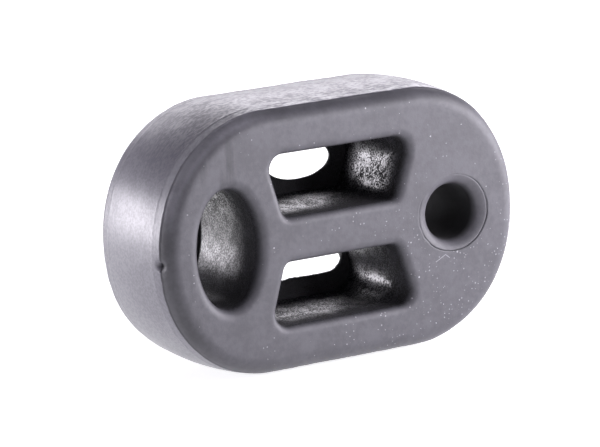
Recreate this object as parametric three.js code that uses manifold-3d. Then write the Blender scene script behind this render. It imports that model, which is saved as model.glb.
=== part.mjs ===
// Exhaust hanger rubber, moulded in one piece: a thick block with round ends, a bore for the
// hanger pin, a tall eye for the body hook, and two windows that leave a rib between them.
// Millimetres, +Z up. The block stands on its long edge, its front face looks towards -Y,
// and the pin bore is at +X. The origin is the middle of the base.

import * as THREE from 'three';
import { mergeVertices } from 'three/addons/utils/BufferGeometryUtils.js';
import Module from 'manifold-3d';

// Block
const blockLength = 80;
const blockHeight = 51;
const blockThickness = 25;
const endReach = 24.4; // length of each round end along X
const endFullness = 2.1; // 2 is a true ellipse, more is squarer
const wallBulge = 0.7; // the outer wall stands out this far round its middle
const bulgeLand = 14; // flat band along the middle of the wall, which the block stands on
const edgeWidth = 3.3; // rounded edge, seen on the face
const edgeDepth = 3.4; // rounded edge, seen from the side, if it ran on into the wall
const partingDepth = 2.5; // where the mould parts: the wall cuts the rounded edge off here

// Pin bore
const boreDiameter = 10.5;
const boreMouth = 15.4;
const boreMouthDepth = 2.8;
const boreToEnd = 15.6; // centre of the bore to the end of the block

// Eye
const eyeWidth = 12.8;
const eyeHeight = 22.2;
const eyeToEnd = 14.6; // centre of the eye to the other end of the block
const eyeLip = 2.2; // radius of the rounded edge round the eye
const eyeRim = 0.9; // what is left of the moulding skin, all round

// Windows: one above the rib and its mirror image below
const ribThickness = 8.6;
const strapThickness = 9.35; // from a window to the block's long side
const eyeWall = 5.9; // between the eye and the windows
const boreWall = 7.7; // between the bore and the windows
const eyeSideLean = 16.5; // degrees
const boreSideLean = 18;
const windowLip = 1.8;
const outerCorner = 2.7;
const innerCorner = 1.7;

// Moulding skin that is left across the windows. Each hole in it, the oval one above and the torn
// slot below, is placed by how much skin is left beside it, halfway up the window.
const skinDepth = 19.9; // behind the front face
const skinThickness = 1;
const ovalToEyeSide = 10.45;
const ovalToBoreSide = 3.3;
const ovalToRib = 2.35;
const ovalToStrap = 2.4;
const slotToEyeSide = 4.95;
const slotToBoreSide = 1.3;
const slotToRib = 1.2;
const slotToStrap = 3.75;
const slotCorner = 3.3;

// Fineness of the round shapes
const endSteps = 18;
const curveSteps = 48;
const cornerSteps = 5;
const lipSteps = 4;
const edgeSteps = 5;

// Places that follow from the sizes, from the middle of the block
const boreX = blockLength / 2 - boreToEnd;
const eyeX = eyeToEnd - blockLength / 2;
const frontY = -blockThickness / 2;
const windowInnerZ = ribThickness / 2;
const windowOuterZ = blockHeight / 2 - strapThickness;
const windowMiddleZ = (windowInnerZ + windowOuterZ) / 2;
const leftSlope = Math.tan(THREE.MathUtils.degToRad(eyeSideLean));
const rightSlope = Math.tan(THREE.MathUtils.degToRad(boreSideLean));
const overlap = 1; // how far a joined piece is sunk in, and how far the bore's cutter stands out
const proud = 0.02; // how far a lipped cutter stands out of each face, so that it leaves no film

const wasm = await Module();
wasm.setup();

// A closed three.js geometry as a solid that can be joined and cut
function toSolid(geometry) {
  geometry.deleteAttribute('normal');
  geometry.deleteAttribute('uv');
  const merged = mergeVertices(geometry, 1e-4);
  return new wasm.Manifold(new wasm.Mesh({
    numProp: 3,
    vertProperties: Float32Array.from(merged.attributes.position.array),
    triVerts: Uint32Array.from(merged.index.array),
  }));
}

// An outline in the XZ plane given thickness along Y, about the middle of that thickness
function plate(outline, thickness, middleY, bevel = {}) {
  const straight = thickness - 2 * (bevel.bevelThickness ?? 0);
  const geometry = new THREE.ExtrudeGeometry(outline, {
    depth: straight, curveSegments: cornerSteps, bevelEnabled: false, ...bevel,
  });
  geometry.translate(0, 0, -straight / 2);
  geometry.rotateX(Math.PI / 2);
  geometry.translate(0, middleY, 0);
  return toSolid(geometry);
}

// The block's outline, set in from its widest section
function blockOutline(inset) {
  const halfLength = blockLength / 2 - inset;
  const halfHeight = blockHeight / 2 - inset;
  const reach = endReach - inset;
  const quarter = Array.from({ length: endSteps + 1 }, (_, i) => {
    const angle = (i / endSteps) * (Math.PI / 2);
    return [
      halfLength - reach + reach * Math.cos(angle) ** (2 / endFullness),
      halfHeight * Math.sin(angle) ** (2 / endFullness),
    ];
  });
  const half = [...quarter, ...quarter.map(([x, z]) => [-x, z]).reverse()];
  const lower = half.slice(1, -1).map(([x, z]) => [x, -z]).reverse();
  return new THREE.Shape([...half, ...lower].map(([x, z]) => new THREE.Vector2(x, z)));
}

// A straight-sided outline with its corners rounded, one radius for each corner
function roundedOutline(corners, radii) {
  const outline = new THREE.Shape();
  corners.forEach((corner, i) => {
    const before = corners[(i + corners.length - 1) % corners.length];
    const after = corners[(i + 1) % corners.length];
    const toBefore = before.clone().sub(corner).normalize();
    const toAfter = after.clone().sub(corner).normalize();
    const halfAngle = Math.acos(toBefore.dot(toAfter)) / 2;
    const tangent = radii[i] / Math.tan(halfAngle);
    const towardsMiddle = toBefore.clone().add(toAfter).normalize();
    const centre = corner.clone().addScaledVector(towardsMiddle, radii[i] / Math.sin(halfAngle));
    const start = corner.clone().addScaledVector(toBefore, tangent).sub(centre).angle();
    const end = corner.clone().addScaledVector(toAfter, tangent).sub(centre).angle();
    outline.absarc(centre.x, centre.y, radii[i], start, end, false);
  });
  outline.closePath();
  return outline;
}

function ellipseOutline(x, z, width, height) {
  return new THREE.Shape(
    new THREE.EllipseCurve(x, z, width / 2, height / 2, 0, 2 * Math.PI, false, 0)
      .getPoints(curveSteps).slice(0, -1),
  );
}

function eyeOutline(grow) {
  return ellipseOutline(eyeX, 0, eyeWidth + 2 * grow, eyeHeight + 2 * grow);
}

// The upper window's two ends at a height above the block's middle. Its long side is the outer one,
// so both ends lean out.
function windowLeft(z) {
  return eyeX + eyeWidth / 2 + eyeWall - (z - windowInnerZ) * leftSlope;
}

function windowRight(z) {
  return boreX - boreDiameter / 2 - boreWall + (z - windowInnerZ) * rightSlope;
}

// The upper window, grown on every side
function windowOutline(grow) {
  const bottom = windowInnerZ - grow;
  const top = windowOuterZ + grow;
  const growLeft = grow * Math.hypot(1, leftSlope);
  const growRight = grow * Math.hypot(1, rightSlope);
  return roundedOutline([
    new THREE.Vector2(windowLeft(bottom) - growLeft, bottom),
    new THREE.Vector2(windowRight(bottom) + growRight, bottom),
    new THREE.Vector2(windowRight(top) + growRight, top),
    new THREE.Vector2(windowLeft(top) - growLeft, top),
  ], [innerCorner, innerCorner, outerCorner, outerCorner].map((radius) => radius + grow));
}

// Where a hole in a window's skin lies, from the skin that is left on each side of it
function skinHole(toEyeSide, toBoreSide, toRib, toStrap) {
  return {
    left: windowLeft(windowMiddleZ) + toEyeSide,
    right: windowRight(windowMiddleZ) - toBoreSide,
    bottom: windowInnerZ + toRib,
    top: windowOuterZ - toStrap,
  };
}

function ovalOutline() {
  const { left, right, bottom, top } = skinHole(ovalToEyeSide, ovalToBoreSide, ovalToRib, ovalToStrap);
  return ellipseOutline((left + right) / 2, (bottom + top) / 2, right - left, top - bottom);
}

function slotOutline() {
  const { left, right, bottom, top } = skinHole(slotToEyeSide, slotToBoreSide, slotToRib, slotToStrap);
  const corner = Math.min(slotCorner, 0.48 * (top - bottom));
  return roundedOutline([
    new THREE.Vector2(left, bottom),
    new THREE.Vector2(right, bottom),
    new THREE.Vector2(right, top),
    new THREE.Vector2(left, top),
  ], Array(4).fill(corner));
}

// The block before any hole: the two faces with their rounded edges, and the bulged wall
function makeBlock() {
  const faces = plate(blockOutline(wallBulge + edgeWidth), blockThickness, 0, {
    bevelEnabled: true, bevelSize: edgeWidth, bevelThickness: edgeDepth, bevelSegments: edgeSteps,
  });
  const wallDepth = blockThickness - 2 * partingDepth;
  const wall = plate(blockOutline(wallBulge), wallDepth, 0, {
    bevelEnabled: true, bevelSize: wallBulge, bevelThickness: (wallDepth - bulgeLand) / 2, bevelSegments: 1,
  });
  return faces.add(wall);
}

// A through hole whose edges on both faces are rounded outwards
function lippedHole(outline, lip) {
  return plate(outline, blockThickness + 2 * proud, 0, {
    bevelEnabled: true, bevelSize: -lip, bevelOffset: lip, bevelThickness: lip, bevelSegments: lipSteps,
  });
}

// The pin bore, with a mouth on each face that curves into the bore
function makeBore() {
  const bore = boreDiameter / 2;
  const mouth = new THREE.QuadraticBezierCurve(
    new THREE.Vector2(bore, blockThickness / 2 - boreMouthDepth),
    new THREE.Vector2(bore + (boreMouth / 2 - bore) * 0.15, blockThickness / 2 - boreMouthDepth * 0.3),
    new THREE.Vector2(boreMouth / 2, blockThickness / 2),
  ).getPoints(edgeSteps);
  const upper = [...mouth, new THREE.Vector2(boreMouth / 2, blockThickness / 2 + overlap)];
  const lower = upper.map((point) => new THREE.Vector2(point.x, -point.y)).reverse();
  const profile = [new THREE.Vector2(0, lower[0].y), ...lower, ...upper];
  profile.push(new THREE.Vector2(0, upper.at(-1).y));
  const geometry = new THREE.LatheGeometry(profile, curveSteps);
  geometry.translate(boreX, 0, 0);
  return toSolid(geometry);
}

// Thin skin across one opening, sunk into its walls, with a hole through it
function makeSkin(outline, hole) {
  outline.holes.push(new THREE.Path(hole.getPoints(cornerSteps).reverse()));
  return plate(outline, skinThickness, frontY + skinDepth + skinThickness / 2);
}

function makeRubber() {
  const holes = [
    lippedHole(eyeOutline(0), eyeLip),
    lippedHole(windowOutline(0), windowLip),
    lippedHole(windowOutline(0), windowLip).mirror([0, 0, 1]),
    makeBore(),
  ];
  const skins = [
    makeSkin(eyeOutline(overlap), eyeOutline(-eyeRim)),
    makeSkin(windowOutline(overlap), ovalOutline()),
    makeSkin(windowOutline(overlap), slotOutline()).mirror([0, 0, 1]),
  ];
  const holed = holes.reduce((solid, hole) => solid.subtract(hole), makeBlock());
  return skins.reduce((solid, skin) => solid.add(skin), holed);
}

function toGeometry(solid) {
  const mesh = solid.getMesh();
  const geometry = new THREE.BufferGeometry();
  geometry.setAttribute('position', new THREE.BufferAttribute(Float32Array.from(mesh.vertProperties), 3));
  geometry.setIndex(new THREE.BufferAttribute(Uint32Array.from(mesh.triVerts), 1));
  geometry.computeVertexNormals();
  return geometry;
}

const blackRubber = new THREE.MeshStandardMaterial({ color: 0x2e2d31, roughness: 0.55, metalness: 0 });

const rubber = new THREE.Mesh(toGeometry(makeRubber()), blackRubber);
rubber.name = 'rubber_block';
rubber.position.z = blockHeight / 2;

const group = new THREE.Group();
group.add(rubber);

export default group;
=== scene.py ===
import math

import bpy
import numpy as np
from mathutils import Matrix, Vector, noise
from mathutils.geometry import delaunay_2d_cdt


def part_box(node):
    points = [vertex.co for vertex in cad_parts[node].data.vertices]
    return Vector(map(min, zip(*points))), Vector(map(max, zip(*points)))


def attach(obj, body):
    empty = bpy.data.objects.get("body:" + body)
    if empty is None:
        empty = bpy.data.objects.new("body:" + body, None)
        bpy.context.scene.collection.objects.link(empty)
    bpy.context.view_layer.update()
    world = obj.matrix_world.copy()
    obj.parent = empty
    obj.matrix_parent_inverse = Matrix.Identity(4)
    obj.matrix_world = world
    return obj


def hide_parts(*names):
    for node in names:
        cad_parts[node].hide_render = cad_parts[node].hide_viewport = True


# Exhaust hanger rubber: one moulded block with a pin bore, a tall eye and two windows.
# Lengths in the dictionaries are millimetres. The block's own frame has its origin in its middle,
# +X towards the pin bore, the front face towards -Y and +Z up.

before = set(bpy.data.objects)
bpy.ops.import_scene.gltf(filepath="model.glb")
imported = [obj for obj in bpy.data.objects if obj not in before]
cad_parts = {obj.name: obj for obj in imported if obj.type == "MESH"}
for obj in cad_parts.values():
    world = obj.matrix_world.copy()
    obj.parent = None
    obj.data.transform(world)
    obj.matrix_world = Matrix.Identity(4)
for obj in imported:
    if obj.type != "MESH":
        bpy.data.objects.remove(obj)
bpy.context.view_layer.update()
print("frame loaded:", len(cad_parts), "node")

mm = 0.001
blockLow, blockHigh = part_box("rubber_block")
blockMiddle = (blockLow + blockHigh) / 2
blockSize = (blockHigh - blockLow) / mm
halfLength, halfThickness, halfHeight = blockSize / 2


# Camera, at the place from which the photograph was taken

cameraView = {
    "turn": 32.985,  # degrees round from straight on, towards the eye's end
    "tilt": 11.85,  # degrees above level
    "roll": -2.13,
    "distance": 822.1,
    "lens": 261.96,
    "shiftX": -0.0157,
    "shiftY": -0.0041,
}


def makeCamera(view):
    turn, tilt, roll = (math.radians(view[key]) for key in ("turn", "tilt", "roll"))
    back = Vector((-math.sin(turn) * math.cos(tilt), -math.cos(turn) * math.cos(tilt), math.sin(tilt)))
    level = (-back).cross(Vector((0, 0, 1))).normalized()
    above = level.cross(-back)
    right = math.cos(roll) * level + math.sin(roll) * above
    up = math.cos(roll) * above - math.sin(roll) * level
    data = bpy.data.cameras.new("camera")
    data.sensor_width = 36
    data.lens = view["lens"]
    data.shift_x = view["shiftX"]
    data.shift_y = view["shiftY"]
    camera = bpy.data.objects.new("camera", data)
    bpy.context.scene.collection.objects.link(camera)
    turned = Matrix((right, up, back)).transposed().to_4x4()
    camera.matrix_world = Matrix.Translation(blockMiddle + back * view["distance"] * mm) @ turned
    bpy.context.scene.camera = camera


makeCamera(cameraView)
print("camera placed")


# Outlines. Each is a ring of evenly spaced points in the XZ plane with its outward normals,
# so that every section of the block is the same ring moved along its normals.

fineness = {
    "ellipse": 1440,  # points of the dense outline from which an even ring is drawn
    "blockQuarter": 400,  # the same, for a quarter of the block
    "skinHole": 240,  # points round a hole in the skin
    "corner": 24,  # steps round a rounded corner, and along each stretch below
    "edge": 12,
    "strip": 5,
    "wall": 14,
    "lip": 8,
    "opening": 14,
    "behindSkin": 3,
    "windowSkin": 8,
    "eyeRim": 4,
    "boreMouth": 16,
    "bore": 10,
    "flatMargin": (0.5, 0.35, 0.3),  # millimetres of face joined to the edge, an opening and the bore
}


def fadeIn(value, low, high):
    # 0 up to low, 1 from high on
    return np.clip((value - low) / (high - low), 0, 1)


def evenRing(dense, count):
    closed = np.vstack([dense, dense[:1]])
    steps = np.hypot(*np.diff(closed, axis=0).T)
    along = np.concatenate([[0], np.cumsum(steps)])
    places = np.arange(count) * along[-1] / count
    points = np.column_stack([np.interp(places, along, closed[:, i]) for i in (0, 1)])
    tangents = np.roll(points, -1, axis=0) - np.roll(points, 1, axis=0)
    tangents /= np.linalg.norm(tangents, axis=1)[:, None]
    return points, np.column_stack([tangents[:, 1], -tangents[:, 0]])


def ellipseRing(x, z, width, height, count):
    angles = np.linspace(0, 2 * math.pi, fineness["ellipse"], endpoint=False)
    dense = np.column_stack([x + width / 2 * np.cos(angles), z + height / 2 * np.sin(angles)])
    return evenRing(dense, count)


def blockRing(shape, count):
    angles = np.linspace(0, math.pi / 2, fineness["blockQuarter"])
    reach = shape["endReach"]
    x = halfLength - reach + reach * np.cos(angles).clip(0) ** (2 / shape["endFullness"])
    z = halfHeight * np.sin(angles) ** (2 / shape["endFullness"])
    quarter = np.column_stack([x, z])
    half = np.vstack([quarter, quarter[::-1] * (-1, 1)])
    return evenRing(np.vstack([half, half[::-1] * (1, -1)]), count)


def roundedRing(corners, radii, count):
    dense = []
    steps = fineness["corner"]
    for i, corner in enumerate(corners):
        toBefore = Vector(corners[i - 1]) - Vector(corner)
        toAfter = Vector(corners[(i + 1) % len(corners)]) - Vector(corner)
        toBefore.normalize()
        toAfter.normalize()
        halfAngle = toBefore.angle(toAfter) / 2
        centre = Vector(corner) + (toBefore + toAfter).normalized() * radii[i] / math.sin(halfAngle)
        start = Vector(corner) + toBefore * radii[i] / math.tan(halfAngle) - centre
        end = Vector(corner) + toAfter * radii[i] / math.tan(halfAngle) - centre
        startAngle = math.atan2(start.y, start.x)
        sweep = (math.atan2(end.y, end.x) - startAngle) % (2 * math.pi)
        for step in range(steps + 1):
            angle = startAngle + sweep * step / steps
            dense.append((centre.x + radii[i] * math.cos(angle), centre.y + radii[i] * math.sin(angle)))
    return evenRing(np.array(dense), count)


def ringNoise(points, layers):
    # each layer is a strength, features per millimetre and a seed
    total = np.zeros(len(points))
    for strength, scale, seed in layers:
        total += strength * np.array([noise.noise(Vector((x * scale, z * scale, seed))) for x, z in points])
    return total


# The mesh is gathered as rings of vertices, joined into tubes, and closed by two flat faces. Each
# vertex says how much of it belongs to each zone of the finish.

zoneNames = ("outerWall", "edgeBand", "innerWall", "skin", "boreMouth", "deepShade")


class BlockMesh:
    def __init__(self):
        self.vertices = []
        self.faces = []
        self.zones = {name: [] for name in zoneNames}

    def addPoints(self, points, y, **zones):
        first = len(self.vertices)
        depths = np.broadcast_to(np.asarray(y, float), len(points))
        self.vertices += [(x, depth, z) for (x, z), depth in zip(points, depths)]
        for name, values in self.zones.items():
            values += list(np.broadcast_to(np.asarray(zones.get(name, 0.0), float), len(points)))
        return np.arange(first, first + len(points))

    def joinRings(self, front, back, outward):
        for a, b, c, d in zip(front, np.roll(front, -1), np.roll(back, -1), back):
            self.faces.append((d, c, b, a) if outward else (a, b, c, d))

    def addTube(self, stations, outward):
        for front, back in zip(stations, stations[1:]):
            self.joinRings(front, back, outward)


def insideRing(points, ring):
    x, z = points[:, 0][:, None], points[:, 1][:, None]
    x0, z0 = ring[:, 0], ring[:, 1]
    x1, z1 = np.roll(x0, -1), np.roll(z0, -1)
    spans = (z0 > z) != (z1 > z)
    rise = np.where(z1 == z0, 1e-9, z1 - z0)
    return (spans & (x < x0 + (z - z0) * (x1 - x0) / rise)).sum(axis=1) % 2 == 1


# Block: its outline, its rounded edges and its crowned wall

blockShape = {
    "endReach": 24.4,
    "endFullness": 2.1,
    "edgeWidth": 3.3,
    "edgeDepth": 3.4,
    "edgeFinish": 0.3,  # share of the edge's finish where it meets the flat face
    "partingDepth": 2.5,  # the wall cuts the rounded edge off here
    "partingWander": 0.35,
    "partingReach": 1.2,  # how far to both sides its wander is followed
    "wanderNoise": ((1.0, 0.12, 5.0), (0.5, 0.5, 6.0)),
    "wallBulge": 0.7,
    "stripWidth": 2.3,  # strip beside the parting line, flatter than the wall's crown
    "stripInset": 0.01,
    "beadHeight": 0.03,
    "beadSpan": (-0.08, 0.05),
    "waver": 0.03,  # of the strip and the bead, mostly inwards
    "waverShift": 0.4,
    "waverNoise": ((1.0, 0.35, 3.0),),
    "ringGap": 0.3,
    "points": 480,
}

pinBore = {
    "x": 24.4,
    "diameter": 10.5,
    "mouth": 15.4,
    "mouthHeight": 14.5,
    "mouthBend": (5.85, 0.35),  # the point towards which the mouth curves, as radius and depth
    "mouthDepth": 2.0,
    "grooveWidth": 0.24,
    "grooveDepth": 0.2,
    "grooveWander": 0.16,
    "grooveNoise": ((1.0, 0.33, 14.0), (0.6, 1.3, 15.0)),
    "grooveFloor": (0.6, 0.4),  # shares of its width, between which the groove is deepest
    "grooveTurn": -50.0,  # where round the mouth the groove is deepest
    "grooveOpenness": (0.55, 0.6, 0.5),  # all round, its swing round the mouth, and its raggedness
    "grooveShade": 0.75,
    "shadeStart": 0.55,  # share of the mouth's curve
    "points": 144,
}

hookEye = {
    "x": -25.4,
    "width": 12.8,
    "height": 22.2,
    "lip": 2.2,
    "rim": 0.45,  # of moulding skin, left all round
    "rimDepth": 20.9,  # behind the front face
    "rimNoise": ((0.35, 0.5, 11.0),),
    "points": 144,
}

windowShape = {
    "innerZ": 4.3,
    "outerZ": 16.15,
    "eyeEnd": -13.1,  # at innerZ
    "boreEnd": 11.45,
    "eyeLean": 16.5,
    "boreLean": 18.0,
    "innerCorner": 1.7,
    "outerCorner": 2.7,
    "deepCorner": 4.6,  # the same corners inside the block
    "lip": 1.6,
    "boreLip": 2.1,
    "boreSide": (0.2, 0.8),  # the normal's part towards the bore, over which the lip widens
    "points": 200,
}

openingWall = {
    "afterLip": 0.4,  # how far its first and last rings are from the lips and the skin
    "beforeSkin": 0.5,
    "behindSkin": 0.4,
    "beforeLip": 0.1,
    "cornerReach": 5.0,  # depth over which the outline turns into the deeper one
    "backShare": 0.9,  # how much of the deeper outline there is behind the skin
    "lipShade": (0.35, 0.85),  # share of the lip's curve over which the wall's finish sets in
}

mouldingSkin = {
    "depth": 19.9,  # behind the front face
    "thickness": 1.0,
    "thinning": 0.12,  # on each side, towards the hole
    "edgeStart": 0.985,  # share of the way to the hole where its torn edge begins
    "root": 0.12,  # how far the wall's rings beside the skin lean in
    "rootGap": 0.03,
    "ease": 0.02,  # and the rings before those
    "easeGap": 0.2,
    "oval": {"left": -4.4, "right": 10.1, "bottom": 6.65, "top": 13.75, "tear": 0.033},
    "slot": {"left": -9.9, "right": 12.1, "bottom": 5.5, "top": 12.4, "corner": 3.3, "tear": 0.22},
    "tearNoise": ((1.0, 0.6, 7.0), (0.5, 1.7, 8.0)),
}


def edgeProfile(shape):
    # inset and depth of the rounded edge, and how much of its finish each has
    endAngle = math.acos(1 - shape["partingDepth"] / shape["edgeDepth"])
    inner = shape["wallBulge"] + shape["edgeWidth"]
    stations = [(inner + fineness["flatMargin"][0], 0.0, shape["edgeFinish"])]
    steps = fineness["edge"]
    for i in range(steps + 1):
        angle = endAngle * i / steps
        inset = inner - shape["edgeWidth"] * math.sin(angle)
        stations.append((inset, shape["edgeDepth"] * (1 - math.cos(angle)), 1.0))
    return stations


def wallProfile(shape):
    # inset and depth from the front face, down to the middle of the wall
    start = shape["partingDepth"]
    crown = halfThickness - start

    def crownInset(depth):
        return shape["wallBulge"] * ((halfThickness - depth) / crown) ** 2

    bead = start + shape["stripWidth"]
    gap = shape["ringGap"]
    stations = [(crownInset(start) + shape["stripInset"], start + gap / 10)]
    for depth in np.linspace(start + gap, bead - gap, fineness["strip"]):
        stations.append((crownInset(depth) + shape["stripInset"], depth))
    for shift in shape["beadSpan"]:
        stations.append((crownInset(bead) - shape["beadHeight"], bead + shift))
    for depth in np.linspace(bead + gap, halfThickness, fineness["wall"]):
        stations.append((crownInset(depth), depth))
    return stations


# A nick in the parting edge of the eye's end, on the front

nick = {
    "z": -1.2,
    "width": 0.65,
    "depth": 0.95,
    "drop": 0.5,
    "tailLength": 6.0,
    "tailDepth": 0.12,
    "shade": (0.25, 0.875),  # depths between which it turns dark
}


def nickDent(points):
    above = points[:, 1] - nick["z"]
    dent = np.exp(-(above / nick["width"]) ** 2) * nick["depth"]
    tail = np.clip(-above / nick["tailLength"], 0, 1)
    dent += nick["tailDepth"] * np.where(tail > 0, (1 - tail) * (1 - np.exp(above)), 0)
    return dent * (points[:, 0] < 0)


def addOuterWall(block, shape):
    points, normals = blockRing(shape, shape["points"])
    waver = shape["waver"] * (ringNoise(points, shape["waverNoise"]) + shape["waverShift"])
    wander = shape["partingWander"] * ringNoise(points, shape["wanderNoise"])
    half = []
    for inset, depth, edge in edgeProfile(shape):
        half.append((inset, depth, {"edgeBand": edge}, 0.0))
    looseEnd = shape["partingDepth"] + shape["stripWidth"] + shape["ringGap"]
    for inset, depth in wallProfile(shape):
        loose = 1.0 if depth < looseEnd else 0.0
        half.append((inset, depth, {"outerWall": 1.0}, loose))
    stations = [(inset, depth - halfThickness, zones, loose) for inset, depth, zones, loose in half]
    stations += [(inset, -y, zones, loose) for inset, y, zones, loose in reversed(stations[:-1])]
    dent = nickDent(points)
    rings = []
    for inset, y, zones, loose in stations:
        offset = inset + loose * waver
        fromParting = abs(halfThickness - abs(y) - shape["partingDepth"])
        nearParting = max(0.0, 1 - fromParting / shape["partingReach"])
        depth = y + nearParting * wander
        shade = 0.0
        if y < 0:
            offset = offset + dent * nearParting
            depth = depth + nick["drop"] * dent * nearParting
            shade = fadeIn(dent * nearParting, *nick["shade"])
        ring = points - normals * np.reshape(offset, (-1, 1))
        rings.append(block.addPoints(ring, depth, deepShade=shade, **zones))
    block.addTube(rings, True)
    return rings[0], rings[-1]


def addOpening(block, points, deepPoints, normals, lip, skinDepth, skinRings):
    # deepPoints is the outline inside the block, and skinRings gives the rings over the moulding skin
    lip = np.broadcast_to(np.asarray(lip, float), len(points))
    skinFront = skinDepth - halfThickness
    skinBack = skinFront + mouldingSkin["thickness"]
    rings = []

    def ringAt(grow, y, share=0.0, **zones):
        outline = points + (deepPoints - points) * share
        rings.append(block.addPoints(outline + normals * np.reshape(grow, (-1, 1)), y, **zones))

    def lipRings(side):
        steps = fineness["lip"]
        found = [(lip + fineness["flatMargin"][1], np.zeros(len(points)), 0.0)]
        for i in range(steps + 1):
            angle = math.pi / 2 * i / steps
            inner = fadeIn(i / steps, *openingWall["lipShade"])
            found.append((lip * (1 - math.sin(angle)), lip * (1 - math.cos(angle)), inner))
        return [(grow, side * (halfThickness - depth), inner) for grow, depth, inner in found]

    for grow, y, inner in lipRings(-1):
        ringAt(grow, y, innerWall=inner)
    wallStart = float(lip.max()) + openingWall["afterLip"] - halfThickness
    for y in np.linspace(wallStart, skinFront - openingWall["beforeSkin"], fineness["opening"]):
        share = min(1.0, (y - wallStart) / openingWall["cornerReach"])
        ringAt(0.0, y, share * share * (3 - 2 * share), innerWall=1.0)
    lean, gap = mouldingSkin["root"], mouldingSkin["rootGap"]
    ease, easeGap = mouldingSkin["ease"], mouldingSkin["easeGap"]
    ringAt(-ease, skinFront - easeGap, 1.0, innerWall=1.0, skin=1.0)
    ringAt(-lean, skinFront - gap, 1.0, innerWall=1.0, skin=1.0)
    rings += skinRings(skinFront, skinBack)
    ringAt(-lean, skinBack + gap, 1.0, innerWall=1.0, skin=0.5)
    ringAt(-ease, skinBack + easeGap, 0.95, innerWall=1.0)
    wallEnd = halfThickness - float(lip.max()) - openingWall["beforeLip"]
    for y in np.linspace(skinBack + openingWall["behindSkin"], wallEnd, fineness["behindSkin"]):
        share = openingWall["backShare"] * (wallEnd - y) / (wallEnd - skinBack)
        ringAt(0.0, y, share, innerWall=1.0)
    for grow, y, inner in reversed(lipRings(1)):
        ringAt(grow, y, innerWall=inner)
    block.addTube(rings, False)
    return rings[0], rings[-1]


def skinOver(block, rim, hole, steps):
    # rings from the wall to the hole in the skin, round its torn edge and back to the wall
    thin = mouldingSkin["thinning"]
    last = mouldingSkin["edgeStart"]

    def ringAt(share, y):
        points = rim + (hole - rim) * share
        return block.addPoints(points, y, innerWall=1.0, skin=1.0)

    def build(front, back):
        shares = [i / steps for i in range(1, steps + 1)]
        rings = [ringAt(min(share, last), front + thin * share) for share in shares]
        rings.append(ringAt(1.0, (front + back) / 2))
        rings += [ringAt(min(share, last), back - thin * share) for share in reversed(shares)]
        return rings
    return build


def raysToRing(centre, points, hole):
    # the point of the hole's ring that lies in the same direction from its centre as each given point
    holeAngles = np.unwrap(np.arctan2(hole[:, 1] - centre[1], hole[:, 0] - centre[0]))
    angles = np.arctan2(points[:, 1] - centre[1], points[:, 0] - centre[0])
    reach = np.hypot(hole[:, 0] - centre[0], hole[:, 1] - centre[1])
    order = np.argsort(holeAngles % (2 * math.pi))
    radii = np.interp(angles % (2 * math.pi), (holeAngles % (2 * math.pi))[order], reach[order],
                      period=2 * math.pi)
    return np.column_stack([centre[0] + radii * np.cos(angles), centre[1] + radii * np.sin(angles)])


def windowRing(shape, upper, outerCorner):
    slopes = [math.tan(math.radians(shape[key])) for key in ("eyeLean", "boreLean")]
    rise = shape["outerZ"] - shape["innerZ"]
    corners = [
        (shape["eyeEnd"], shape["innerZ"]),
        (shape["boreEnd"], shape["innerZ"]),
        (shape["boreEnd"] + rise * slopes[1], shape["outerZ"]),
        (shape["eyeEnd"] - rise * slopes[0], shape["outerZ"]),
    ]
    radii = [shape["innerCorner"]] * 2 + [outerCorner] * 2
    if not upper:
        corners = [(x, -z) for x, z in reversed(corners)]
        radii.reverse()
    return roundedRing(corners, radii, shape["points"])


def skinHole(upper):
    count = fineness["skinHole"]
    if upper:
        hole = mouldingSkin["oval"]
        centre = ((hole["left"] + hole["right"]) / 2, (hole["bottom"] + hole["top"]) / 2)
        width, height = hole["right"] - hole["left"], hole["top"] - hole["bottom"]
        ring, normals = ellipseRing(*centre, width, height, count)
    else:
        hole = mouldingSkin["slot"]
        centre = ((hole["left"] + hole["right"]) / 2, -(hole["bottom"] + hole["top"]) / 2)
        corners = [(hole["left"], -hole["top"]), (hole["right"], -hole["top"]),
                   (hole["right"], -hole["bottom"]), (hole["left"], -hole["bottom"])]
        ring, normals = roundedRing(corners, [hole["corner"]] * 4, count)
    ragged = hole["tear"] * ringNoise(ring, mouldingSkin["tearNoise"])
    return centre, ring + normals * ragged[:, None]


def addWindow(block, shape, upper):
    points, normals = windowRing(shape, upper, shape["outerCorner"])
    deepPoints, deepNormals = windowRing(shape, upper, shape["deepCorner"])
    lip = shape["lip"] + (shape["boreLip"] - shape["lip"]) * fadeIn(normals[:, 0], *shape["boreSide"])
    centre, hole = skinHole(upper)
    matched = raysToRing(centre, deepPoints, hole)
    rim = deepPoints - deepNormals * mouldingSkin["root"]
    skin = skinOver(block, rim, matched, fineness["windowSkin"])
    return addOpening(block, points, deepPoints, normals, lip, mouldingSkin["depth"], skin)


def addEye(block, shape):
    points, normals = ellipseRing(shape["x"], 0, shape["width"], shape["height"], shape["points"])
    ragged = 1 + ringNoise(points, shape["rimNoise"])
    hole = points - normals * (shape["rim"] * ragged)[:, None]
    skin = skinOver(block, points - normals * mouldingSkin["root"], hole, fineness["eyeRim"])
    return addOpening(block, points, points, normals, shape["lip"], shape["rimDepth"], skin)


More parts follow.
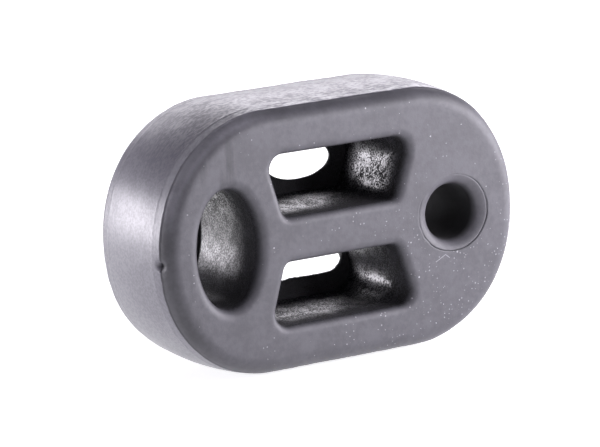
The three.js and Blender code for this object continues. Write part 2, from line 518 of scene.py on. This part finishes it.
def addBore(block, shape):
    radius = shape["diameter"] / 2
    mouth = shape["mouth"] / 2
    points, normals = ellipseRing(shape["x"], 0, 2 * radius, 2 * radius, shape["points"])
    ragged = ringNoise(points, shape["grooveNoise"])
    turn = np.arctan2(normals[:, 1], normals[:, 0]) - math.radians(shape["grooveTurn"])
    always, swing, ragShare = shape["grooveOpenness"]
    openness = (always + swing * np.cos(turn) + ragShare * ragged).clip(0, 1)
    width = shape["grooveWidth"]
    # radius, depth, how much is inside the bore, and how much is the groove's floor
    profile = [(mouth + width + fineness["flatMargin"][2], 0.0, 0.0, 0.0), (mouth + width, 0.0, 0.0, 0.0)]
    profile += [(mouth + width * share, shape["grooveDepth"], 0.0, 1.0) for share in shape["grooveFloor"]]
    profile.append((mouth, 0.02, 0.0, 0.0))
    start = Vector((mouth, 0.0))
    bend = Vector(shape["mouthBend"])
    end = Vector((radius, shape["mouthDepth"]))
    steps = fineness["boreMouth"]
    for i in range(1, steps + 1):
        t = i / steps
        place = (1 - t) ** 2 * start + 2 * t * (1 - t) * bend + t ** 2 * end
        profile.append((place.x, place.y, fadeIn(t, shape["shadeStart"], 1), 0.0))
    for depth in np.linspace(shape["mouthDepth"] + 0.6, halfThickness, fineness["bore"]):
        profile.append((radius, depth, 1.0, 0.0))
    stations = [(reach, depth - halfThickness, *rest) for reach, depth, *rest in profile]
    stations += [(reach, -y, *rest) for reach, y, *rest in reversed(stations[:-1])]
    rings = []
    for reach, y, inner, groove in stations:
        inMouth = 1.0 - inner if reach < mouth + 0.01 else 0.0
        inGroove = max(0.0, 1 - abs(reach - mouth - width / 2) / 0.5)
        outline = points + normals * (reach - radius + shape["grooveWander"] * inGroove * ragged)[:, None]
        flatter = (1 - shape["mouthHeight"] / shape["mouth"]) * (reach - radius) / (mouth - radius)
        outline[:, 1] *= 1 - flatter
        depth = y - math.copysign(shape["grooveDepth"] * groove, -y) * (1 - openness)
        shade = np.maximum(inner, shape["grooveShade"] * groove * openness)
        rings.append(block.addPoints(outline, depth, boreMouth=inMouth, deepShade=shade))
    block.addTube(rings, False)
    return rings[0], rings[-1]


# Faces: the flat area between the rounded edge and the openings, filled with even triangles

faceFill = {"spacing": 1.15, "rowShare": 0.866, "clearance": 0.55}  # rows of even triangles


def addFace(block, rings, side):
    allPoints = np.array(block.vertices)[:, [0, 2]]
    loops = [allPoints[ring] for ring in rings]
    spacing = faceFill["spacing"]
    rows = []
    for row, z in enumerate(np.arange(-halfHeight, halfHeight, spacing * faceFill["rowShare"])):
        xs = np.arange(-halfLength, halfLength, spacing) + (spacing / 2 if row % 2 else 0)
        rows.append(np.column_stack([xs, np.full(len(xs), z)]))
    grid = np.vstack(rows)
    keep = insideRing(grid, loops[0])
    for loop in loops[1:]:
        keep &= ~insideRing(grid, loop)
    grid = grid[keep]
    border = np.vstack(loops)
    nearest = np.array([np.hypot(*(border - point).T).min() for point in grid])
    grid = grid[nearest > faceFill["clearance"]]
    known = list(np.concatenate(rings)) + list(block.addPoints(grid, side * halfThickness))
    edges = []
    first = 0
    for loop in loops:
        edges += [(first + i, first + (i + 1) % len(loop)) for i in range(len(loop))]
        first += len(loop)
    flat = [Vector(point) for point in np.vstack([border, grid])]
    places, _, triangles, origins, _, _ = delaunay_2d_cdt(flat, edges, [], 0, 1e-7)
    places = np.array(places)
    triangles = np.array([list(triangle) for triangle in triangles])
    centres = places[triangles].mean(axis=1)
    keep = insideRing(centres, loops[0])
    for loop in loops[1:]:
        keep &= ~insideRing(centres, loop)
    for triangle in triangles[keep]:
        a, b, c = (known[origins[corner][0]] for corner in triangle)
        block.faces.append((a, b, c) if side < 0 else (c, b, a))


def buildBlock():
    block = BlockMesh()
    loops = [addOuterWall(block, blockShape), addEye(block, hookEye), addBore(block, pinBore)]
    loops += [addWindow(block, windowShape, upper) for upper in (True, False)]
    addFace(block, [front for front, _ in loops], -1)
    addFace(block, [back for _, back in loops], 1)
    return block


# Cast rubber is never quite true: slow unevenness, always inwards so that the size stays

unevenness = {
    "depth": 0.10,
    "scale": 0.045,  # features per millimetre
    "ripple": 0.02,
    "rippleScale": 0.35,
}


def warpBlock(vertices, normals):
    moved = vertices.copy()
    for i, (place, normal) in enumerate(zip(vertices, normals)):
        slow = 0.5 + 0.5 * noise.noise(Vector(place) * unevenness["scale"])
        ripple = 0.5 + 0.5 * noise.noise(Vector(place) * unevenness["rippleScale"])
        moved[i] -= normal * (unevenness["depth"] * slow + unevenness["ripple"] * ripple)
    return moved


def makeBlockObject():
    block = buildBlock()
    mesh = bpy.data.meshes.new("rubberBlock")
    mesh.from_pydata([tuple(v) for v in block.vertices], [], [tuple(int(i) for i in f) for f in block.faces])
    mesh.update()
    vertices = np.array(block.vertices)
    normals = np.array([vertex.normal[:] for vertex in mesh.vertices])
    moved = warpBlock(vertices, normals) * mm + np.array(blockMiddle)
    mesh.vertices.foreach_set("co", moved.ravel())
    for name, values in block.zones.items():
        attribute = mesh.attributes.new(name, "FLOAT", "POINT")
        attribute.data.foreach_set("value", values)
    mesh.polygons.foreach_set("use_smooth", [True] * len(mesh.polygons))
    mesh.update()
    piece = bpy.data.objects.new("rubberBlock", mesh)
    bpy.context.scene.collection.objects.link(piece)
    return piece


rubberBlock = makeBlockObject()
print("block meshed:", len(rubberBlock.data.polygons), "faces")


# Rubber finish. The zones painted on the mesh say where each part of it goes: painted shade on the rounded
# edge, a greyer bloom on the outer wall, and rough inner walls that were never polished by the mould, their
# darker colour partly bare rubber and partly painted shade, and painted shade on the moulding skin and in the
# bore.
# A noise is given as features per metre, detail and roughness. In a pair of places the effect begins at
# the first and is full at the second, and z is the height above the floor unless a note says otherwise.

rubberFinish = {
    "faceColor": (0.112, 0.1098, 0.1258),
    # painted shade on the rounded edge
    "edgeShadeColor": (0.0885, 0.0865, 0.1),
    "wallColor": (0.179, 0.173, 0.208),
    "mouthColor": (0.113, 0.110, 0.126),
    # inner walls: partly bare rubber without bloom, partly painted shade in the openings
    "innerColor": (0.016, 0.0153, 0.0205),
    "innerMottling": 0.7,
    # painted shade on the moulding skin, in the bore, in its groove and in the nick
    "hiddenShadeColor": (0.0165, 0.016, 0.019),
    "hiddenShadeMottling": 0.6,
    "faceRoughness": 0.5,
    "wallRoughness": 0.45,
    "innerRoughness": (0.62, 0.28),  # dull ground and shining grains
    "hiddenRoughness": 0.85,
    "coatRoughness": 0.31,
    "coatStrength": 2.1,  # as an index of refraction
    "polishStart": (2.5, 8.5),  # millimetres into a window, where its wall begins to shine
    "grain": (2600.0, 2.0, 0.5),
    "grainDepth": 0.02,  # millimetres
}

mottling = {
    "coarse": (160.0, 4.0, 0.6),
    "fine": (900.0, 3.0, 0.6),
    "fineShare": 0.4,
    "edges": (0.38, 0.62),
    "amount": 0.13,
}

# Painted shade darkens the rounded edge, and stays off where light falls on it:
edgeShade = {
    "x": (37.0, 24.0),  # the edge is as pale as the face at the bore's end,
    "z": (4.0, 12.0),  # near the floor
    "flatness": (0.995, 0.86),  # and where it runs out into the face
}

wallBloom = {
    "cloud": (300.0, 5.0, 0.65),
    "fine": (1900.0, 2.0, 0.6),
    "streaks": (2000.0, 3.0, 0.6),  # on top, drawn out along the wall
    "streakStretch": 0.5,
    "fineShare": 0.65,
    "edges": (0.40, 0.60),
    "amount": 0.07,
    "coat": (0.28, 0.48),  # shine of its darker and paler spots
    "topCoat": (0.02, 0.70),  # the same where the wall faces up, and is more worn
    "upward": (0.3, 0.85),  # the upright part of the normal there
    "backFade": (11.0, -6.0),  # the top shines less towards the back
    "backShare": 0.4,
}

partingStrip = {
    "y": (-7.6, -8.3),
    "shine": 0.62,  # against the rest of the wall
    "topShine": 1.35,  # the same where it faces up
}

# Painted light above the eye, on the rounded edge and the strip beside the parting line
cornerPaintedLight = {
    "color": (0.26, 0.255, 0.29),  # the edge and the strip are paler above the eye
    "x": (-13.0, -27.0),
    "z": (27.0, 38.0),
    "flatness": (0.98, 0.70),
}

innerSpeckle = {
    "grains": (3100.0, 2.0, 0.6),
    "patches": (420.0, 3.0, 0.6),
    "patchShare": 0.35,
    "edges": (0.45, 0.575),
    "depth": 0.24,  # millimetres
}

eyeWall = {
    "end": -15.0,  # x up to which a wall is the eye's
    "speckleHeight": (9.0, -1.0),  # z from the middle, where the speckle softens
    "softness": 0.42,
    "evenShine": 0.75,
    "dullHeight": (-1.0, -8.5),  # z from the middle, where the shine fades
    "dullness": 0.8,
    "polishStart": (4.0, 12.5),  # millimetres into the eye
}


class NodeBench:
    # lays out shader nodes with short calls
    def __init__(self, tree):
        self.nodes = tree.nodes
        self.links = tree.links

    def add(self, kind, **values):
        node = self.nodes.new("ShaderNode" + kind)
        for name, value in values.items():
            setattr(node, name, value)
        return node

    def feed(self, socket, value):
        if isinstance(value, bpy.types.NodeSocket):
            self.links.new(value, socket)
        else:
            socket.default_value = value

    def math(self, operation, first, second=0.0, clamp=False):
        node = self.add("Math", operation=operation, use_clamp=clamp)
        self.feed(node.inputs[0], first)
        self.feed(node.inputs[1], second)
        return node.outputs[0]

    def times(self, first, *others):
        for other in others:
            first = self.math("MULTIPLY", first, other)
        return first

    def without(self, value):
        return self.math("SUBTRACT", 1.0, value)

    def ramp(self, value, low, high, start=0.0, end=1.0):
        node = self.add("MapRange", interpolation_type="SMOOTHSTEP")
        self.feed(node.inputs["Value"], value)
        for name, number in (("From Min", low), ("From Max", high), ("To Min", start), ("To Max", end)):
            self.feed(node.inputs[name], number)
        return node.outputs[0]

    def across(self, vector, axis, span, **ends):
        # a ramp along one axis, between two places in millimetres
        low, high = (place * mm for place in span)
        return self.ramp(self.split(vector)[axis], low, high, **ends)

    def mixColor(self, share, first, second):
        node = self.add("Mix", data_type="RGBA")
        self.feed(node.inputs[0], share)
        self.feed(node.inputs[6], first)
        self.feed(node.inputs[7], second)
        return node.outputs[2]

    def mixValue(self, share, first, second):
        node = self.add("Mix", data_type="FLOAT")
        self.feed(node.inputs[0], share)
        self.feed(node.inputs[2], first)
        self.feed(node.inputs[3], second)
        return node.outputs[0]

    def noise(self, vector, scale, detail, roughness):
        node = self.add("TexNoise")
        self.feed(node.inputs["Vector"], vector)
        self.feed(node.inputs["Scale"], scale)
        self.feed(node.inputs["Detail"], detail)
        self.feed(node.inputs["Roughness"], roughness)
        return node.outputs[0]

    def zone(self, name):
        return self.add("Attribute", attribute_name=name).outputs["Fac"]

    def normal(self, axis):
        return self.split(self.add("NewGeometry").outputs["Normal"])[axis]

    def split(self, vector):
        node = self.add("SeparateXYZ")
        self.feed(node.inputs[0], vector)
        return node.outputs

    def stretch(self, vector, x, y, z):
        node = self.add("Mapping")
        self.feed(node.inputs["Vector"], vector)
        node.inputs["Scale"].default_value = (x, y, z)
        return node.outputs[0]


def rgb(color):
    return (*color, 1.0)


def shaded(color, factor):
    return rgb([channel * factor for channel in color])


def mottled(bench, value, color, amount):
    return bench.mixColor(value, shaded(color, 1 - amount), shaded(color, 1 + amount))


def fromFront(depths):
    return [depth - halfThickness for depth in depths]


def fromMiddle(heights):
    return [height + blockMiddle.z / mm for height in heights]


# Pale specks, mostly on the lower part of the face towards the bore, and a bent hair beside the bore

dust = {
    "color": (0.62, 0.61, 0.66),
    "fine": {"scale": 1250.0, "size": 0.20, "share": 0.50, "strength": 0.40},  # scale in cells per metre,
    "coarse": {"scale": 560.0, "size": 0.10, "share": 0.25, "strength": 0.7},  # size against a cell's
    "x": (-12.0, 14.0),
    "z": (40.0, 18.0),
    "elsewhere": 0.12,
    "patches": (260.0, 2.0, 0.55),
    "patchEdges": (0.35, 0.65),
    "frontOnly": -0.7,  # no dust where the normal turns away from the front
}

hair = {
    "points": ((20.1, -8.9), (22.3, -7.8), (23.2, -8.5)),  # x and z from the block's middle
    "width": 0.15,
    "strength": 0.42,
}


def dustDots(bench, flat, region, specks):
    cells = bench.add("TexVoronoi", voronoi_dimensions="2D")
    bench.feed(cells.inputs["Vector"], flat)
    bench.feed(cells.inputs["Scale"], specks["scale"])
    chance = bench.add("SeparateColor")
    bench.links.new(cells.outputs["Color"], chance.inputs[0])
    size = bench.times(chance.outputs[1], specks["size"])
    dots = bench.math("LESS_THAN", cells.outputs["Distance"], size)
    chosen = bench.math("LESS_THAN", chance.outputs[0], bench.times(region, specks["share"]))
    return bench.times(dots, chosen, specks["strength"])


def hairLine(bench, flat):
    places = [Vector((x * mm, z * mm + blockMiddle.z, 0)) for x, z in hair["points"]]
    line = 0.0
    for start, end in zip(places, places[1:]):
        along = end - start
        fromStart = bench.add("VectorMath", operation="SUBTRACT")
        bench.feed(fromStart.inputs[0], flat)
        fromStart.inputs[1].default_value = start
        share = bench.add("VectorMath", operation="DOT_PRODUCT")
        bench.feed(share.inputs[0], fromStart.outputs[0])
        share.inputs[1].default_value = along / along.length_squared
        nearest = bench.add("VectorMath", operation="SCALE")
        nearest.inputs[0].default_value = along
        bench.feed(nearest.inputs["Scale"], bench.math("ADD", share.outputs["Value"], 0.0, clamp=True))
        away = bench.add("VectorMath", operation="DISTANCE")
        bench.feed(away.inputs[0], fromStart.outputs[0])
        bench.feed(away.inputs[1], nearest.outputs[0])
        near = bench.math("LESS_THAN", away.outputs["Value"], hair["width"] / 2 * mm)
        line = bench.math("MAXIMUM", line, near)
    return bench.times(line, hair["strength"])


def addDust(bench, place, color):
    split = bench.split(place)
    flat = bench.add("CombineXYZ")
    bench.links.new(split["X"], flat.inputs["X"])
    bench.links.new(split["Z"], flat.inputs["Y"])
    region = bench.times(bench.across(place, "X", dust["x"]), bench.across(place, "Z", dust["z"]))
    patches = bench.ramp(bench.noise(place, *dust["patches"]), *dust["patchEdges"])
    region = bench.times(bench.math("ADD", region, dust["elsewhere"]), patches)
    dots = hairLine(bench, flat.outputs[0])
    for kind in ("fine", "coarse"):
        dots = bench.math("MAXIMUM", dots, dustDots(bench, flat.outputs[0], region, dust[kind]))
    front = bench.math("LESS_THAN", bench.normal("Y"), dust["frontOnly"])
    return bench.mixColor(bench.times(dots, front), color, rgb(dust["color"]))


# Faint upright smears between the eye and the top corner

smears = {
    "middle": (-27.0, -12.5, 41.5),
    "reach": (7.0, 2.5),
    "marks": (520.0, 2.0, 0.5),
    "stretch": 0.16,
    "edges": (0.45, 0.68),
    "strength": 0.42,
    "color": (0.0, 0.0, 0.0),
}


def addSmears(bench, place, color):
    away = bench.add("VectorMath", operation="DISTANCE")
    bench.feed(away.inputs[0], place)
    middle = Vector(smears["middle"]) * mm
    away.inputs[1].default_value = middle + Vector((blockMiddle.x, blockMiddle.y, 0))
    near = bench.ramp(away.outputs["Value"], *(reach * mm for reach in smears["reach"]))
    scale, detail, roughness = smears["marks"]
    drawn = bench.stretch(place, scale, scale, scale * smears["stretch"])
    marks = bench.ramp(bench.noise(drawn, 1.0, detail, roughness), *smears["edges"])
    return bench.mixColor(bench.times(marks, near, smears["strength"]), color, rgb(smears["color"]))


def edgeMasks(bench, place, wall, edge):
    # the edge with painted shade, the strip beside the front parting line, and painted light on both above
    # the eye
    flatness = bench.math("ABSOLUTE", bench.normal("Y"))
    edge = bench.times(edge, bench.across(place, "X", edgeShade["x"]), bench.across(place, "Z", edgeShade["z"]))
    edge = bench.times(edge, bench.ramp(flatness, *edgeShade["flatness"]))
    strip = bench.times(wall, bench.across(place, "Y", partingStrip["y"]))
    corner = bench.times(bench.across(place, "X", cornerPaintedLight["x"]), bench.across(place, "Z", cornerPaintedLight["z"]))
    corner = bench.times(corner, bench.ramp(flatness, *cornerPaintedLight["flatness"]))
    return edge, strip, bench.times(corner, bench.math("MAXIMUM", edge, strip))


def wallHaze(bench, place, upward):
    scale, detail, roughness = wallBloom["streaks"]
    along = scale * wallBloom["streakStretch"]
    streaks = bench.noise(bench.stretch(place, along, scale, along), 1.0, detail, roughness)
    fine = bench.mixValue(upward, bench.noise(place, *wallBloom["fine"]), streaks)
    haze = bench.mixValue(wallBloom["fineShare"], bench.noise(place, *wallBloom["cloud"]), fine)
    return bench.ramp(haze, *wallBloom["edges"])


def wallShine(bench, place, haze, upward, strip):
    side = bench.mixValue(haze, *wallBloom["coat"])
    top = bench.mixValue(haze, *wallBloom["topCoat"])
    top = bench.times(top, bench.across(place, "Y", wallBloom["backFade"], start=wallBloom["backShare"]))
    shine = bench.mixValue(upward, side, top)
    stripShine = bench.mixValue(upward, partingStrip["shine"], partingStrip["topShine"])
    return bench.mixValue(strip, shine, bench.times(shine, stripShine))


def innerGrit(bench, place, grains, patches, inEye):
    # bare grains that shine on the inner walls, softer low down in the eye
    grit = bench.ramp(bench.mixValue(innerSpeckle["patchShare"], grains, patches), *innerSpeckle["edges"])
    soft = bench.across(place, "Z", fromMiddle(eyeWall["speckleHeight"]), end=eyeWall["softness"])
    return bench.mixValue(bench.times(inEye, soft), grit, eyeWall["evenShine"])


def innerPolish(bench, place, inEye, start):
    window = bench.across(place, "Y", fromFront(start))
    low = bench.across(place, "Z", fromMiddle(eyeWall["dullHeight"]))
    eye = bench.across(place, "Y", fromFront(eyeWall["polishStart"]))
    eye = bench.times(eye, bench.without(bench.times(low, eyeWall["dullness"])))
    return bench.mixValue(inEye, window, eye)


def makeRubber(finish):
    material = bpy.data.materials.new("blackRubber")
    material.use_nodes = True
    bench = NodeBench(material.node_tree)
    shader = material.node_tree.nodes["Principled BSDF"]
    place = bench.add("TexCoord").outputs["Object"]
    wall, edge, inner, skin, mouth, deep = (bench.zone(name) for name in zoneNames)
    # painted shade: the moulding skin and the deep places
    paintedShade = bench.math("MAXIMUM", skin, deep)
    edge, strip, corner = edgeMasks(bench, place, wall, edge)
    upward = bench.ramp(bench.normal("Z"), *wallBloom["upward"])
    inEye = bench.math("LESS_THAN", bench.split(place)["X"], eyeWall["end"] * mm)
    grains = bench.noise(place, *innerSpeckle["grains"])
    patches = bench.noise(place, *innerSpeckle["patches"])
    haze = wallHaze(bench, place, upward)
    grit = innerGrit(bench, place, grains, patches, inEye)
    polish = innerPolish(bench, place, inEye, finish["polishStart"])

    coarse, fine = (bench.noise(place, *mottling[key]) for key in ("coarse", "fine"))
    marks = bench.ramp(bench.mixValue(mottling["fineShare"], coarse, fine), *mottling["edges"])
    color = mottled(bench, marks, finish["faceColor"], mottling["amount"])
    color = addDust(bench, place, addSmears(bench, place, color))
    layers = [
        # painted shade on the rounded edge
        (edge, marks, finish["edgeShadeColor"], mottling["amount"]),
        (wall, haze, finish["wallColor"], wallBloom["amount"]),
        # painted light on the edge and the strip above the eye
        (corner, marks, cornerPaintedLight["color"], mottling["amount"]),
        (mouth, marks, finish["mouthColor"], mottling["amount"]),
        # inner walls: partly bare rubber, partly painted shade
        (inner, grit, finish["innerColor"], finish["innerMottling"]),
        # painted shade on the moulding skin and the deep places
        (paintedShade, patches, finish["hiddenShadeColor"], finish["hiddenShadeMottling"]),
    ]
    for mask, pattern, layerColor, amount in layers:
        color = bench.mixColor(mask, color, mottled(bench, pattern, layerColor, amount))
    bench.feed(shader.inputs["Base Color"], color)

    roughness = bench.mixValue(wall, finish["faceRoughness"], finish["wallRoughness"])
    innerRoughness = bench.mixValue(grit, *finish["innerRoughness"])
    innerRoughness = bench.mixValue(polish, finish["hiddenRoughness"], innerRoughness)
    roughness = bench.mixValue(inner, roughness, innerRoughness)
    bench.feed(shader.inputs["Roughness"], bench.mixValue(paintedShade, roughness, finish["hiddenRoughness"]))

    wallCoat = bench.times(wall, wallShine(bench, place, haze, upward, strip))
    coat = bench.math("MAXIMUM", wallCoat, bench.times(inner, polish, grit))
    bench.feed(shader.inputs["Coat Weight"], bench.times(coat, bench.without(paintedShade)))
    shader.inputs["Coat Roughness"].default_value = finish["coatRoughness"]
    shader.inputs["Coat IOR"].default_value = finish["coatStrength"]

    grain = bench.times(bench.noise(place, *finish["grain"]), bench.without(inner), finish["grainDepth"])
    bump = bench.add("Bump")
    bench.feed(bump.inputs["Strength"], 1.0)
    bench.feed(bump.inputs["Distance"], mm)
    speckle = bench.times(grains, inner, innerSpeckle["depth"])
    bench.feed(bump.inputs["Height"], bench.math("ADD", grain, speckle))
    bench.feed(shader.inputs["Normal"], bump.outputs[0])
    return material


rubberBlock.data.materials.append(makeRubber(rubberFinish))
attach(rubberBlock, "root")
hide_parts("rubber_block")
print("rubber finished")


# Floor, lights and background. The studio is a pale tent: bright low down and behind, darker overhead
# and where it opens at the front left.

studio = {
    "floorColor": (0.85, 0.85, 0.86),
    "floorGlow": 0.75,  # for the background that the camera sees
    "floorShine": 0.9,  # and that reflections see
    "floorBounce": 0.2,  # and that matt surfaces near it see
    "floorSize": 3000.0,
    "backdropColor": (1.0, 1.0, 1.0),
    "tentColor": (0.965, 0.935, 1.0),
    "lampColor": (0.965, 0.935, 1.0),
    "overheadColor": (0.11, 0.108, 0.12),
    "overheadDay": 0.7,  # share of that darkness that matt surfaces notice
    "openingColor": (0.08, 0.08, 0.09),
    "tentEdge": (0.07, 0.30),  # height of the ray direction where the tent turns dark
    "openingTurn": -55.0,
    "openingTilt": 8.0,
    "openingEdge": (0.62, 0.92),  # cosine from the opening's middle
    "dayStrength": 0.59,  # light that the tent gives to matt surfaces
}


def makeFloor(settings):
    size = settings["floorSize"] / 2 * mm
    mesh = bpy.data.meshes.new("floor")
    corners = [(-size, -size, 0), (size, -size, 0), (size, size, 0), (-size, size, 0)]
    mesh.from_pydata(corners, [], [(0, 1, 2, 3)])
    floor = bpy.data.objects.new("floor", mesh)
    bpy.context.scene.collection.objects.link(floor)
    material = bpy.data.materials.new("paleFloor")
    material.use_nodes = True
    bench = NodeBench(material.node_tree)
    bench.nodes.clear()
    diffuse = bench.add("BsdfDiffuse")
    bench.feed(diffuse.inputs["Color"], rgb(settings["floorColor"]))
    path = bench.add("LightPath")
    shine = bench.math("MAXIMUM", path.outputs["Is Glossy Ray"], path.outputs["Is Transmission Ray"])
    shine = bench.times(shine, settings["floorShine"])
    seen = bench.times(path.outputs["Is Camera Ray"], settings["floorGlow"])
    bounce = bench.times(path.outputs["Is Diffuse Ray"], settings["floorBounce"])
    glow = bench.add("Emission")
    bench.feed(glow.inputs["Strength"], bench.math("MAXIMUM", seen, bench.math("MAXIMUM", shine, bounce)))
    both = bench.add("AddShader")
    bench.links.new(diffuse.outputs[0], both.inputs[0])
    bench.links.new(glow.outputs[0], both.inputs[1])
    bench.links.new(both.outputs[0], bench.add("OutputMaterial").inputs["Surface"])
    mesh.materials.append(material)


softboxes = {
    "frontRight": {"turn": 57, "tilt": 9, "distance": 345, "size": (400, 260), "power": 2.65},
    "backLeft": {"turn": -131, "tilt": -3, "distance": 380, "size": (300, 210), "power": 1.75},
    "backRight": {"turn": 155, "tilt": 24, "distance": 500, "size": (460, 260), "power": 1.05},
}


def pointing(turn, tilt):
    turn, tilt = math.radians(turn), math.radians(tilt)
    return Vector((math.sin(turn) * math.cos(tilt), -math.cos(turn) * math.cos(tilt), math.sin(tilt)))


def makeSoftbox(name, settings):
    outward = pointing(settings["turn"], settings["tilt"])
    data = bpy.data.lights.new(name, "AREA")
    data.shape = "RECTANGLE"
    data.size, data.size_y = (side * mm for side in settings["size"])
    data.energy = settings["power"]
    data.color = studio["lampColor"]
    light = bpy.data.objects.new(name, data)
    bpy.context.scene.collection.objects.link(light)
    light.visible_camera = False
    light.location = blockMiddle + outward * settings["distance"] * mm
    light.rotation_euler = outward.to_track_quat("Z", "Y").to_euler()


def makeWorld(settings):
    world = bpy.data.worlds.new("studioWorld")
    bpy.context.scene.world = world
    world.use_nodes = True
    bench = NodeBench(world.node_tree)
    bench.nodes.clear()
    direction = bench.add("TexCoord").outputs["Generated"]
    path = bench.add("LightPath")
    shine = bench.math("MAXIMUM", path.outputs["Is Glossy Ray"], path.outputs["Is Transmission Ray"])
    high = bench.ramp(bench.split(direction)["Z"], *settings["tentEdge"])
    high = bench.times(high, bench.mixValue(shine, settings["overheadDay"], 1.0))
    facing = bench.add("VectorMath", operation="DOT_PRODUCT")
    bench.links.new(direction, facing.inputs[0])
    facing.inputs[1].default_value = pointing(settings["openingTurn"], settings["openingTilt"])
    opening = bench.ramp(facing.outputs["Value"], *settings["openingEdge"])
    tent = bench.mixColor(high, rgb(settings["tentColor"]), rgb(settings["overheadColor"]))
    tent = bench.mixColor(opening, tent, rgb(settings["openingColor"]))
    around = bench.add("Background")
    bench.links.new(tent, around.inputs["Color"])
    bench.feed(around.inputs["Strength"], bench.mixValue(shine, settings["dayStrength"], 1.0))
    backdrop = bench.add("Background")
    bench.feed(backdrop.inputs["Color"], rgb(settings["backdropColor"]))
    mix = bench.add("MixShader")
    bench.links.new(path.outputs["Is Camera Ray"], mix.inputs["Fac"])
    bench.links.new(around.outputs[0], mix.inputs[1])
    bench.links.new(backdrop.outputs[0], mix.inputs[2])
    bench.links.new(mix.outputs[0], bench.add("OutputWorld").inputs["Surface"])


makeFloor(studio)
for softboxName, softboxSettings in softboxes.items():
    makeSoftbox(softboxName, softboxSettings)
makeWorld(studio)
bpy.context.scene.view_settings.view_transform = "Standard"
print("studio lit")
